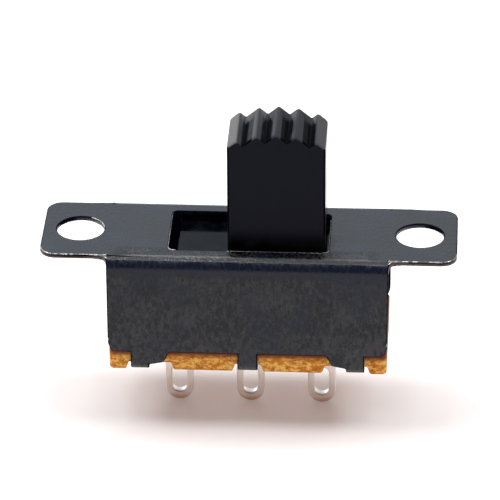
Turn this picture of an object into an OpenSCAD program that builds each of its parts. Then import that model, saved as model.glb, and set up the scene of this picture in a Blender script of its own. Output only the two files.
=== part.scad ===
// Miniature slide switch: a folded steel frame with two mounting ears, a moulded
// slider with a ridged knob, and an insulating board that carries three solder lugs.
// The origin is the centre of the plate's top face. X runs along the slot, Y points
// away from the front wall, and Z points up. All sizes are in millimetres.

/* [Frame] */
// Thickness of the steel sheet
sheet_t = 0.22; // [0.16:0.01:0.28]
// Length of the channel between its two open ends
body_l = 12.35; // [12:0.05:16]
// Depth of the channel over its two walls
body_w = 5.5; // [5.2:0.1:8]
// Height of the walls, from the top face to their lower edge
wall_h = 4.68; // [4.4:0.02:7]
// Outer radius of the two long bends
bend_r = 0.55; // [0.4:0.01:0.6]
// Width of the rounded lower corners of the walls
corner_w = 0.36; // [0.2:0.02:0.6]
// Height of the rounded lower corners of the walls
corner_h = 0.58; // [0.2:0.02:0.8]

/* [Ears] */
// Distance from the end of the channel to the centre of the ear's hole
ear_neck = 1.325; // [1.3:0.025:3]
// Distance from the centre of the ear's hole to the end of the ear
ear_end = 1.65; // [1.5:0.05:3]
// Depth of the ears
ear_w = 4.7; // [3.6:0.1:4.8]
// Radius of the ears' outer corners
ear_r = 0.7; // [0.2:0.05:1.2]
// Radius of the inner corners where an ear meets the channel
neck_r = 0.3; // [0.1:0.02:0.34]
// Diameter of the ear holes
hole_d = 2.1; // [1.6:0.05:2.3]

/* [Crimp tabs] */
// Width of the middle tab
mid_tab_w = 0.88; // [0.6:0.02:1.4]
// Width of the folded part of an outer tab
end_tab_w = 0.81; // [0.5:0.01:0.9]
// Distance from the end of the channel to an outer tab
end_tab_inset = 1.01; // [0.8:0.01:1.4]
// Width of the unfolded lobe beside an outer tab, with its shoulder
lobe_w = 0.94; // [0.5:0.01:1]
// Width of the lobe's rounded shoulder
shoulder_w = 0.36; // [0.2:0.02:0.44]
// Slope of the lobe's lower edge, as the rise from one end to the other
lobe_rise = 0.12; // [0:0.01:0.2]
// How far a folded tab reaches in from the outer face of its wall
tab_fold = 0.85; // [0.6:0.05:1]
// Inner radius of a tab's fold
crimp_r = 0.08; // [0.05:0.01:0.1]
// How far the folded tabs lie above the board's lower face
tab_recess = 0.12; // [0:0.01:0.3]
// Clearance between a folded tab and the board above it
tab_gap = 0.02; // [0.01:0.01:0.04]

/* [Board] */
// Thickness of the insulating board
board_t = 1.33; // [1.1:0.01:2]
// How far the walls overlap the board's edge
board_lap = 0.29; // [0.1:0.01:0.5]
// Clearance between the board's edge and each wall
board_side_gap = 0.05; // [0.03:0.01:0.08]
// How far the board's ends lie inside the channel's ends
board_end_gap = 0.025; // [0:0.005:0.3]
// Radius of the board's upright corners
board_r = 0.25; // [0.1:0.05:0.5]
// Room beside a tab in the board's relief
relief_side = 0.24; // [0.05:0.01:0.3]
// Slant of the relief's side faces, as the difference in width at the top
relief_slant = 0.12; // [0:0.01:0.2]
// Room past the tab's edge in the board's relief
relief_end = 0.06; // [0.02:0.01:0.2]

/* [Terminals] */
// Distance between neighbouring terminals
term_pitch = 3.2; // [2.8:0.05:3.6]
// Width of a solder lug
term_w = 1.25; // [0.9:0.05:1.5]
// Thickness of a solder lug
term_t = 0.4; // [0.25:0.05:0.6]
// Length of a lug below the board
lug_l = 2.9; // [2:0.1:6]
// Width of the lug's eye
eye_w = 0.67; // [0.4:0.01:0.8]
// Length of the lug's eye
eye_l = 1.4; // [0.9:0.05:1.8]
// Metal left between the eye and the lug's tip
eye_rim = 0.4; // [0.2:0.05:0.6]
// Clearance around a terminal in the board's slot
term_gap = 0.02; // [0.01:0.01:0.05]
// Width and depth of the contact pad on top of the board
pad_w = 1.6; // [1.4:0.05:2]
// Thickness of the contact pad
pad_t = 0.3; // [0.2:0.05:0.5]

/* [Knob] */
// Width of the knob along the slot
knob_w = 4.3; // [3.5:0.05:5]
// Depth of the knob across the slot
knob_d = 2.75; // [2:0.05:3]
// Height of the knob's middle ridge above the plate's top face
knob_top = 5.56; // [4:0.02:8]
// Radius of the crown that the ridges follow
crown_r = 4.6; // [4:0.1:12]
// Number of ridges
ridge_n = 5; // [3:1:7]
// Slope of the ridges' faces
ridge_angle = 40; // [30:1:48]
// Radius of the ridges' tips
ridge_tip_r = 0.12; // [0.03:0.01:0.2]
// Radius of the knob's upright edges
knob_edge_r = 0.15; // [0.05:0.01:0.4]
// Radius of the slot's corners
slot_r = 0.25; // [0.1:0.01:0.35]
// Travel of the slider between its two positions
stroke = 2.44; // [2:0.02:3]
// Clearance between the knob and the slot's end at either limit
slot_end_gap = 0.15; // [0.05:0.01:0.3]
// Clearance between the knob and the slot's long sides
slot_side_gap = 0.375; // [0.1:0.005:0.5]

/* [Slider] */
// Length of the slider's flange
flange_l = 8.84; // [8:0.02:9.2]
// Thickness of the slider's flange
flange_t = 1.3; // [1:0.05:1.6]
// Clearance between the flange and the plate above it
flange_gap = 0.31; // [0.15:0.01:0.5]
// Clearance between the flange and each wall
flange_side_gap = 0.1; // [0.05:0.01:0.2]
// Clearance between the flange's runners and the plate
runner_gap = 0.05; // [0.03:0.01:0.1]
// Width of a runner
runner_w = 0.3; // [0.2:0.05:0.4]
// How far the runners stay clear of the bends
runner_inset = 0.1; // [0.05:0.01:0.2]
// Wall of the slider's housing around the contact
housing_wall = 0.75; // [0.5:0.05:1]
// Clearance between the housing and the contact pads
skirt_gap = 0.12; // [0.08:0.01:0.2]
// Room above the contact in the housing
pocket_room = 0.35; // [0.2:0.01:0.6]
// Clearance around the contact in the housing
pocket_gap = 0.1; // [0.05:0.01:0.15]
// Plastic left between the spring's bore and the flange's top
bore_roof = 0.5; // [0.3:0.05:0.8]

/* [Contact] */
// Thickness of the contact strip
contact_t = 0.15; // [0.1:0.01:0.2]
// Width of the contact strip
contact_w = 1.3; // [1:0.05:1.6]
// Half the length of each dimple
dimple_half = 0.7; // [0.5:0.05:0.9]
// Depth of the dimples
dimple_h = 0.35; // [0.2:0.01:0.5]
// Clearance between the dimples and the pads
contact_gap = 0.03; // [0.02:0.01:0.06]
// Outer diameter of the contact spring
spring_d = 1.3; // [1:0.05:1.5]
// Diameter of the spring's wire
wire_d = 0.16; // [0.1:0.01:0.2]
// Number of turns of the spring
spring_turns = 6; // [4:1:8]
// Clearance around the spring in its bore
bore_gap = 0.1; // [0.05:0.01:0.2]
// Clearance at each end of the spring
spring_seat_gap = 0.01; // [0.005:0.005:0.02]

/* [Hidden] */

// Facets of a full circle, and steps of a free curve
round_fn = 64;
curve_steps = 12;
// Overlap of shapes that are joined or cut
lap = 0.2;

// Ears and holes
hole_x = body_l/2 + ear_neck;
plate_l = 2*(hole_x + ear_end);
flat_half = body_w/2 - bend_r;

// Knob and slot
knob_x = stroke/2;
slot_l = knob_w + stroke + 2*slot_end_gap;
slot_w = knob_d + 2*slot_side_gap;

// Heights, from the plate's top face down
under_z = -sheet_t;
flange_z = under_z - flange_gap;
runner_z = under_z - runner_gap;
flange_low_z = flange_z - flange_t;
board_z = -wall_h + board_lap;
board_low_z = board_z - board_t;
pad_z = board_z + pad_t;
dimple_z = pad_z + contact_gap;
strip_z = dimple_z + dimple_h;
strip_top_z = strip_z + contact_t;
pocket_z = strip_top_z + pocket_room;
skirt_z = pad_z + skirt_gap;
bore_z = flange_z - bore_roof;
tab_z = board_low_z + tab_recess;
crimp_z = tab_z + sheet_t + crimp_r;
relief_z = tab_z + sheet_t + tab_gap;

// Places of the tabs along the channel, for the half where X is positive
end_tab_out = body_l/2 - end_tab_inset;
end_tab_in = end_tab_out - end_tab_w;
lobe_in = end_tab_in - lobe_w;

// Board and slider
board_w = body_w - 2*(sheet_t + board_side_gap);
flange_w = body_w - 2*(sheet_t + flange_side_gap);
contact_l = term_pitch + 2*dimple_half;
pocket_l = contact_l + 2*pocket_gap;
pocket_w = contact_w + 2*pocket_gap;
housing_l = pocket_l + 2*housing_wall;
housing_w = pocket_w + 2*housing_wall;

// Ridges of the knob
ridge_pitch = knob_w/ridge_n;
ridge_slope = tan(ridge_angle);
tip_step = ridge_angle/5;
// Height of the point where a ridge's faces would meet, above its rounded tip
tip_rise = ridge_tip_r*(1/cos(ridge_angle) - 1);

// Spring
spring_r = (spring_d - wire_d)/2;
wire_sides = 8;
turn_steps = 16;

function ridge_x(i) = (i - (ridge_n - 1)/2)*ridge_pitch;
function ridge_z(i) = knob_top - crown_r + sqrt(crown_r*crown_r - pow(ridge_x(i), 2));

// The foot of the groove between ridges i and i + 1, where their faces meet
function groove(i) = [
    (ridge_x(i) + ridge_x(i + 1))/2 + (ridge_z(i) - ridge_z(i + 1))/(2*ridge_slope),
    (ridge_z(i) + ridge_z(i + 1))/2 + tip_rise - ridge_slope*ridge_pitch/2
];

// The rounded tip of ridge i, from its left face to its right face
function ridge_tip(i) = [
    for (a = [-ridge_angle : tip_step : ridge_angle + tip_step/2])
        [ridge_x(i) + ridge_tip_r*sin(a),
         ridge_z(i) + ridge_tip_r*(cos(a) - 1)]
];

knob_side_z = ridge_z(0) + tip_rise - ridge_slope*ridge_pitch/2;

// One side of a smooth step from z = 0 at u = 0 to z = 1 at u = 1
function smooth_step(u) = (1 - cos(180*u))/2;

// Height of the contact strip's middle plane above its dimples, x from its centre
function strip_rise(x) = dimple_h*smooth_step(min(1, abs(abs(x) - term_pitch/2)/dimple_half));

// A profile in the Y-Z plane, extruded along X
module along_x(length) {
    rotate([90, 0, 90]) linear_extrude(length, center = true) children();
}

// A profile in the X-Z plane, extruded along Y
module along_y(width) {
    rotate([90, 0, 0]) linear_extrude(width, center = true) children();
}

// A rectangle with round corners, about the origin
module round_rect(length, width, r) {
    square([length - 2*r, width], center = true);
    square([length, width - 2*r], center = true);
    for (sx = [-1, 1], sy = [-1, 1])
        translate([sx*(length/2 - r), sy*(width/2 - r)]) circle(r, $fn = round_fn);
}

// A block from z = low to z = top with two round upper corners
module arch(width, low, top, r) {
    translate([-width/2, low]) square([width, top - r - low]);
    translate([r - width/2, low]) square([width - 2*r, top - low]);
    for (s = [-1, 1]) translate([s*(width/2 - r), top - r]) circle(r, $fn = round_fn);
}

// The channel's section: plate, two bends and two long legs
module channel_section() {
    difference() {
        arch(body_w, board_low_z, 0, bend_r);
        arch(body_w - 2*sheet_t, board_low_z - lap, under_z, bend_r - sheet_t);
    }
}

// The channel seen from above, with the rounded inner corners at the ears
module channel_plan() {
    square([body_l, body_w + lap], center = true);
    for (sx = [-1, 1], sy = [-1, 1]) scale([sx, sy]) neck_corner();
}

module neck_corner() {
    difference() {
        translate([body_l/2 - lap, ear_w/2 - lap]) square([lap + neck_r, lap + neck_r]);
        translate([body_l/2 + neck_r, ear_w/2 + neck_r]) circle(neck_r, $fn = round_fn);
    }
}

// Half of the wall's outline seen from the front, with its tabs and rounded corner
module wall_half() {
    shoulder_z = crimp_z + lobe_rise - tab_gap;
    polygon(concat(
        [[0, lap], [0, crimp_z], [mid_tab_w/2, crimp_z], [mid_tab_w/2, -wall_h]],
        [for (i = [0 : curve_steps])
            let (u = i/curve_steps)
            [lobe_in + shoulder_w*u, -wall_h - (-wall_h - shoulder_z)*smooth_step(u)]],
        [[end_tab_in, shoulder_z - lobe_rise], [end_tab_in, crimp_z],
         [end_tab_out, crimp_z], [end_tab_out, -wall_h]],
        [for (i = [0 : curve_steps])
            let (a = 90*i/curve_steps)
            [body_l/2 - corner_w*(1 - sin(a)), -wall_h + corner_h*(1 - cos(a))]],
        [[body_l/2, -bend_r], [body_l/2 + neck_r, -bend_r], [body_l/2 + neck_r, lap]]
    ));
}

// The fold of a tab under the board, as a section in the Y-Z plane
module crimp_section() {
    fold_y = body_w/2 - sheet_t - crimp_r;
    outer_r = crimp_r + sheet_t;
    intersection() {
        translate([fold_y, crimp_z]) difference() {
            circle(outer_r, $fn = round_fn);
            circle(crimp_r, $fn = round_fn);
        }
        translate([fold_y, crimp_z - outer_r]) square(outer_r);
    }
    translate([body_w/2 - sheet_t, crimp_z]) square([sheet_t, lap]);
    translate([body_w/2 - tab_fold, tab_z]) square([tab_fold - sheet_t - crimp_r, sheet_t]);
}

module tab_folds() {
    for (s = [-1, 1]) scale([1, s, 1]) {
        along_x(mid_tab_w) crimp_section();
        for (t = [-1, 1])
            translate([t*(end_tab_in + end_tab_w/2), 0, 0]) along_x(end_tab_w) crimp_section();
    }
}

// An ear, with a tongue that reaches onto the flat of the plate
module ear_plan() {
    translate([body_l/2, -ear_w/2]) square([(plate_l - body_l)/2 - ear_r, ear_w]);
    translate([body_l/2, ear_r - ear_w/2]) square([(plate_l - body_l)/2, ear_w - 2*ear_r]);
    for (s = [-1, 1])
        translate([plate_l/2 - ear_r, s*(ear_w/2 - ear_r)]) circle(ear_r, $fn = round_fn);
    translate([body_l/2 - lap, -flat_half]) square([2*lap, 2*flat_half]);
}

module frame() {
    color([0.2, 0.21, 0.24]) difference() {
        union() {
            intersection() {
                along_x(body_l + 2*neck_r) channel_section();
                translate([0, 0, board_low_z]) linear_extrude(lap - board_low_z) channel_plan();
                along_y(body_w + lap) {
                    wall_half();
                    mirror([1, 0]) wall_half();
                }
            }
            for (t = [-1, 1]) scale([t, 1, 1])
                translate([0, 0, under_z]) linear_extrude(sheet_t) ear_plan();
            tab_folds();
        }
        translate([0, 0, under_z - lap]) linear_extrude(sheet_t + 2*lap)
            round_rect(slot_l, slot_w, slot_r);
        for (t = [-1, 1])
            translate([t*hole_x, 0, under_z - lap])
                cylinder(d = hole_d, h = sheet_t + 2*lap, $fn = round_fn);
    }
}

// The knob's outline from the front, with the ridges along its crown
module knob_outline() {
    polygon(concat(
        [[-knob_w/2, flange_z - lap], [-knob_w/2, knob_side_z]],
        [for (i = [0 : ridge_n - 1])
            each concat(ridge_tip(i), i < ridge_n - 1 ? [groove(i)] : [])],
        [[knob_w/2, knob_side_z], [knob_w/2, flange_z - lap]]
    ));
}

module runners() {
    for (s = [-1, 1])
        translate([-flange_l/2, s*(flat_half - runner_inset - runner_w/2) - runner_w/2, flange_z - lap])
            cube([flange_l, runner_w, runner_z - flange_z + lap]);
}

module slider() {
    color([0.1, 0.1, 0.11]) translate([knob_x, 0, 0]) difference() {
        union() {
            intersection() {
                along_y(knob_d) knob_outline();
                translate([0, 0, flange_z - lap]) linear_extrude(knob_top - flange_z + 2*lap)
                    round_rect(knob_w, knob_d, knob_edge_r);
            }
            translate([-flange_l/2, -flange_w/2, flange_low_z]) cube([flange_l, flange_w, flange_t]);
            runners();
            translate([-housing_l/2, -housing_w/2, skirt_z])
                cube([housing_l, housing_w, flange_low_z - skirt_z + lap]);
        }
        translate([-pocket_l/2, -pocket_w/2, skirt_z - lap])
            cube([pocket_l, pocket_w, pocket_z - skirt_z + lap]);
        translate([0, 0, pocket_z - lap])
            cylinder(d = spring_d + 2*bore_gap, h = bore_z - pocket_z + lap, $fn = round_fn);
    }
}

// The relief under the board's edge for one tab, between two places along X
module tab_relief(x0, x1) {
    low = board_low_z - lap;
    spread = relief_slant*(1 + lap/(relief_z - board_low_z));
    translate([0, (body_w/2 - tab_fold - relief_end + board_w/2 + lap)/2, 0])
        along_y(board_w/2 + lap - (body_w/2 - tab_fold - relief_end))
            polygon([[x0 - spread + relief_slant, low], [x0 + relief_slant, relief_z],
                     [x1 - relief_slant, relief_z], [x1 + spread - relief_slant, low]]);
}

module base_board() {
    color([0.78, 0.5, 0.2]) difference() {
        translate([0, 0, board_low_z]) linear_extrude(board_t)
            round_rect(body_l - 2*board_end_gap, board_w, board_r);
        for (i = [-1 : 1])
            translate([i*term_pitch, 0, board_low_z + board_t/2])
                cube([term_w + 2*term_gap, term_t + 2*term_gap, board_t + lap], center = true);
        for (s = [-1, 1]) scale([1, s, 1]) {
            tab_relief(-mid_tab_w/2 - relief_side, mid_tab_w/2 + relief_side);
            for (t = [-1, 1]) scale([t, 1, 1])
                tab_relief(lobe_in - relief_slant, end_tab_out + relief_side);
        }
    }
}

// A flat lug with a rounded tip and an eye, staked through the board under its pad
module terminal(i) {
    tip_z = board_low_z - lug_l;
    eye_low = tip_z + eye_rim + eye_w/2;
    color([0.84, 0.83, 0.78]) translate([i*term_pitch, 0, 0]) {
        along_y(term_t) difference() {
            union() {
                translate([-term_w/2, tip_z + term_w/2]) square([term_w, board_z + pad_t/2 - tip_z - term_w/2]);
                translate([0, tip_z + term_w/2]) circle(term_w/2, $fn = round_fn);
            }
            translate([-eye_w/2, eye_low]) square([eye_w, eye_l - eye_w]);
            for (z = [eye_low, eye_low + eye_l - eye_w])
                translate([0, z]) circle(eye_w/2, $fn = round_fn);
        }
        translate([0, 0, board_z]) linear_extrude(pad_t) round_rect(pad_w, pad_w, pad_t);
    }
}

module terminal_left() { terminal(-1); }
module terminal_centre() { terminal(0); }
module terminal_right() { terminal(1); }

// A strip with a dimple over each of two neighbouring pads
module contact_bridge() {
    steps = 6*curve_steps;
    xs = [for (i = [0 : steps]) contact_l*(i/steps - 1/2)];
    color([0.8, 0.62, 0.35]) translate([knob_x, 0, dimple_z]) along_y(contact_w)
        polygon(concat(
            [for (x = xs) [x, strip_rise(x)]],
            [for (i = [steps : -1 : 0]) [xs[i], strip_rise(xs[i]) + contact_t]]
        ));
}

// One ring of the spring's wire, at t turns from its lower end
function wire_ring(t, height) = [
    for (k = [0 : wire_sides - 1])
        let (a = 360*k/wire_sides, r = spring_r + wire_d/2*cos(a))
        [r*cos(360*t), r*sin(360*t), height*t/spring_turns + wire_d/2*(1 + sin(a))]
];

module contact_spring() {
    length = bore_z - strip_top_z - 2*spring_seat_gap;
    rings = spring_turns*turn_steps;
    color([0.6, 0.6, 0.62]) translate([knob_x, 0, strip_top_z + spring_seat_gap])
        polyhedron(
            [for (j = [0 : rings]) each wire_ring(j/turn_steps, length - wire_d)],
            concat(
                [[for (k = [0 : wire_sides - 1]) k]],
                [for (j = [0 : rings - 1], k = [0 : wire_sides - 1])
                    let (n = (k + 1) % wire_sides)
                    [j*wire_sides + k, (j + 1)*wire_sides + k,
                     (j + 1)*wire_sides + n, j*wire_sides + n]],
                [[for (k = [wire_sides - 1 : -1 : 0]) rings*wire_sides + k]]
            )
        );
}

frame();
slider();
base_board();
terminal_left();
terminal_centre();
terminal_right();
contact_bridge();
contact_spring();
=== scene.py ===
"""Looks of a miniature slide switch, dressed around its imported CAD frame.

The switch has a folded black steel frame, a black moulded slider with a ridged
knob, a brown phenolic board and three silvered solder lugs. Each sub-assembly is
a class that shapes its pieces and dresses them. Lengths are in metres, written
as multiples of MM, unless a docstring gives them in millimetres.
"""

import logging
import math
from collections.abc import Iterator
from contextlib import contextmanager
from dataclasses import dataclass
from enum import Enum, IntEnum
from functools import cached_property

import bmesh
import bpy
from mathutils import Matrix, Vector
from mathutils.bvhtree import BVHTree


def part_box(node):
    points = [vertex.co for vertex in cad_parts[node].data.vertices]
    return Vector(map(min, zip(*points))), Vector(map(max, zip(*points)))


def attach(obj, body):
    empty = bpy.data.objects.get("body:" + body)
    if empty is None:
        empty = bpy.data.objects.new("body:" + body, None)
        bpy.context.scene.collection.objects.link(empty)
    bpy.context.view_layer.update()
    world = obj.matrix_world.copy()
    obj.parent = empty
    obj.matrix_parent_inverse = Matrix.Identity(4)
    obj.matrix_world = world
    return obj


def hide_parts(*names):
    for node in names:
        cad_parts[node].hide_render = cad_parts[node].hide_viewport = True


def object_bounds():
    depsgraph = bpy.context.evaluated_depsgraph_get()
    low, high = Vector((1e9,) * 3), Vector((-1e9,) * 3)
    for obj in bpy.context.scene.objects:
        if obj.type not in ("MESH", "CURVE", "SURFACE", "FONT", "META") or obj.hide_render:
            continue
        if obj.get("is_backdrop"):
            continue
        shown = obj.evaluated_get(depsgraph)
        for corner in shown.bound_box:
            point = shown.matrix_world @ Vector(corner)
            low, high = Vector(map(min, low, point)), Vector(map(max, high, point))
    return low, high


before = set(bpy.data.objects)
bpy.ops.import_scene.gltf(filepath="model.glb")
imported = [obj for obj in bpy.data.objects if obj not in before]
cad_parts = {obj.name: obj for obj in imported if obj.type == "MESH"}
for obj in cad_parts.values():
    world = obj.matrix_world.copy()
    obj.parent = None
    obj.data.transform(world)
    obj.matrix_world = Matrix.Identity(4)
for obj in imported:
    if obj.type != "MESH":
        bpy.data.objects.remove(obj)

MM = 0.001
LOG = logging.getLogger("slide_switch")

Triple = tuple[float, float, float]
Colour = Triple
Range = tuple[float, float]
Socket = bpy.types.NodeSocket
Wiring = dict[str | int, object]

WHITE = (1.0, 1.0, 1.0)
# The value that a noise pattern has on average
NOISE_MIDDLE = 0.5
# The values of a noise pattern between which roughness changes
ROUGH_SPAN = (0.3, 0.7)
# The numbers of the Mix node's colour sockets
MIX_FIRST, MIX_SECOND, MIX_RESULT = 6, 7, 2


class Body(Enum):
    """The CAD bodies that pieces ride on."""

    CASE = "case"
    CARRIAGE = "carriage"


class Slot(Enum):
    """The record's material slots."""

    STEEL = "black_steel"
    PLASTIC = "black_plastic"
    PHENOLIC = "phenolic"
    SILVER = "silvered_brass"
    BRONZE = "contact_bronze"
    SPRING = "spring_steel"


class Face(IntEnum):
    """The finishes of the steel frame's faces, in the order of their materials."""

    COAT = 0
    SHEARED = 1
    # RIM is painted shade: a dark rim that barely reflects, also laid on the walls' inner faces.
    RIM = 2
    BARE = 3


@dataclass(frozen=True)
class Cloud:
    """A cloudy pattern's measures.

    per_mm counts its features on a millimetre and detail its finer layers, and rough
    is their strength. stretch makes it finer along each axis, and shift moves it.
    """

    per_mm: float
    detail: float = 3.0
    rough: float = 0.55
    stretch: Triple = (1.0, 1.0, 1.0)
    shift: Triple = (0.0, 0.0, 0.0)


class Nodes:
    """Builds patterns in a node tree, with places measured in millimetres."""

    def __init__(self, tree: bpy.types.NodeTree) -> None:
        """Empties the tree.

        Args:
            tree: The tree that the patterns go into.
        """
        self.tree = tree
        self.tree.nodes.clear()

    def wire(self, node: bpy.types.Node, wiring: Wiring) -> None:
        """Gives a node's inputs what they read.

        Args:
            node: The node.
            wiring: A socket or a single value for each input, by the input's name or number.
        """
        for name, given in wiring.items():
            socket = node.inputs[name]
            if isinstance(given, Socket):
                self.tree.links.new(given, socket)
            else:
                socket.default_value = (*given, 1.0) if socket.type == "RGBA" else given

    def add(self, kind: str, wiring: Wiring | None = None, **settings: str) -> bpy.types.Node:
        """Adds a node.

        Args:
            kind: The node's type.
            wiring: A socket or a single value for each input, by the input's name or number.
            settings: The node's own settings, such as its operation.

        Returns:
            The node.
        """
        node = self.tree.nodes.new(kind)
        for name, choice in settings.items():
            setattr(node, name, choice)
        self.wire(node, wiring or {})
        return node

    def place(self, stretch: Triple = (1.0, 1.0, 1.0), shift: Triple = (0.0, 0.0, 0.0)) -> Socket:
        """Gives the place on the piece in millimetres.

        Args:
            stretch: How much finer the pattern is along each axis.
            shift: Where the pattern starts.

        Returns:
            The vector socket for a texture.
        """
        whole = self.add("ShaderNodeTexCoord").outputs["Object"]
        wiring = {"Vector": whole, "Scale": [factor / MM for factor in stretch], "Location": shift}
        return self.add("ShaderNodeMapping", wiring).outputs["Vector"]

    def normal(self) -> Socket:
        """Gives the direction of the surface."""
        return self.add("ShaderNodeNewGeometry").outputs["Normal"]

    def axis(self, vector: Socket, name: str) -> Socket:
        """Gives one coordinate of a place or direction, X, Y or Z."""
        return self.add("ShaderNodeSeparateXYZ", {0: vector}).outputs[name]

    def noise(self, cloud: Cloud) -> Socket:
        """Gives a cloudy pattern from 0 to 1.

        Args:
            cloud: The pattern's measures.

        Returns:
            The pattern's value.
        """
        wiring = {
            "Vector": self.place(cloud.stretch, cloud.shift),
            "Scale": cloud.per_mm,
            "Detail": cloud.detail,
            "Roughness": cloud.rough,
        }
        return self.add("ShaderNodeTexNoise", wiring).outputs["Fac"]

    def spread(self, source: Socket, span: Range, to: Range = (0.0, 1.0)) -> Socket:
        """Maps a value's range smoothly onto another and clamps it.

        Args:
            source: The value.
            span: The value's two ends.
            to: What they are mapped to.

        Returns:
            The mapped value.
        """
        wiring = dict(zip(("From Min", "From Max", "To Min", "To Max"), (*span, *to)), Value=source)
        return self.add("ShaderNodeMapRange", wiring, interpolation_type="SMOOTHSTEP").outputs["Result"]

    def fall(self, source: Socket, span: Range) -> Socket:
        """Falls smoothly from 1 to 0 over a value's range."""
        return self.spread(source, span, (1.0, 0.0))

    def math(self, operation: str, first: Socket | float, second: Socket | float = 0.0) -> Socket:
        """Joins two values by a named operation, such as SUBTRACT."""
        return self.add("ShaderNodeMath", {0: first, 1: second}, operation=operation).outputs[0]

    def times(self, first: Socket, second: Socket | float) -> Socket:
        """Multiplies two values."""
        return self.math("MULTIPLY", first, second)

    def most(self, first: Socket, second: Socket | float) -> Socket:
        """Gives the larger of two values."""
        return self.math("MAXIMUM", first, second)

    def blend(self, share: Socket, first: Socket | Colour, second: Socket | Colour) -> Socket:
        """Mixes two colours, with the first at a share of 0 and the second at 1."""
        wiring = {"Factor": share, MIX_FIRST: first, MIX_SECOND: second}
        return self.add("ShaderNodeMix", wiring, data_type="RGBA").outputs[MIX_RESULT]

    def bump(self, height: Socket, relief: Range, under: Socket | None = None) -> Socket:
        """Turns a pattern into relief.

        Args:
            height: The pattern, from 0 to 1.
            relief: The relief's depth in millimetres, and how much of it shows.
            under: The normal of a coarser relief below it.

        Returns:
            The normal.
        """
        depth, strength = relief
        wiring = {"Height": height, "Distance": depth * MM, "Strength": strength}
        if under is not None:
            wiring["Normal"] = under
        return self.add("ShaderNodeBump", wiring).outputs["Normal"]


class Shader(Nodes):
    """Builds one material around a Principled shader."""

    def __init__(self, name: str) -> None:
        """Makes an empty material with a Principled shader and its output.

        Args:
            name: The material's name.
        """
        self.material = bpy.data.materials.new(name)
        self.material.use_nodes = True
        super().__init__(self.material.node_tree)
        self.surface = self.add("ShaderNodeBsdfPrincipled")
        self.add("ShaderNodeOutputMaterial", {"Surface": self.surface.outputs["BSDF"]})

    def finished(self, wiring: Wiring) -> bpy.types.Material:
        """Gives the Principled shader's inputs what they read, and returns the material."""
        self.wire(self.surface, wiring)
        return self.material


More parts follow.
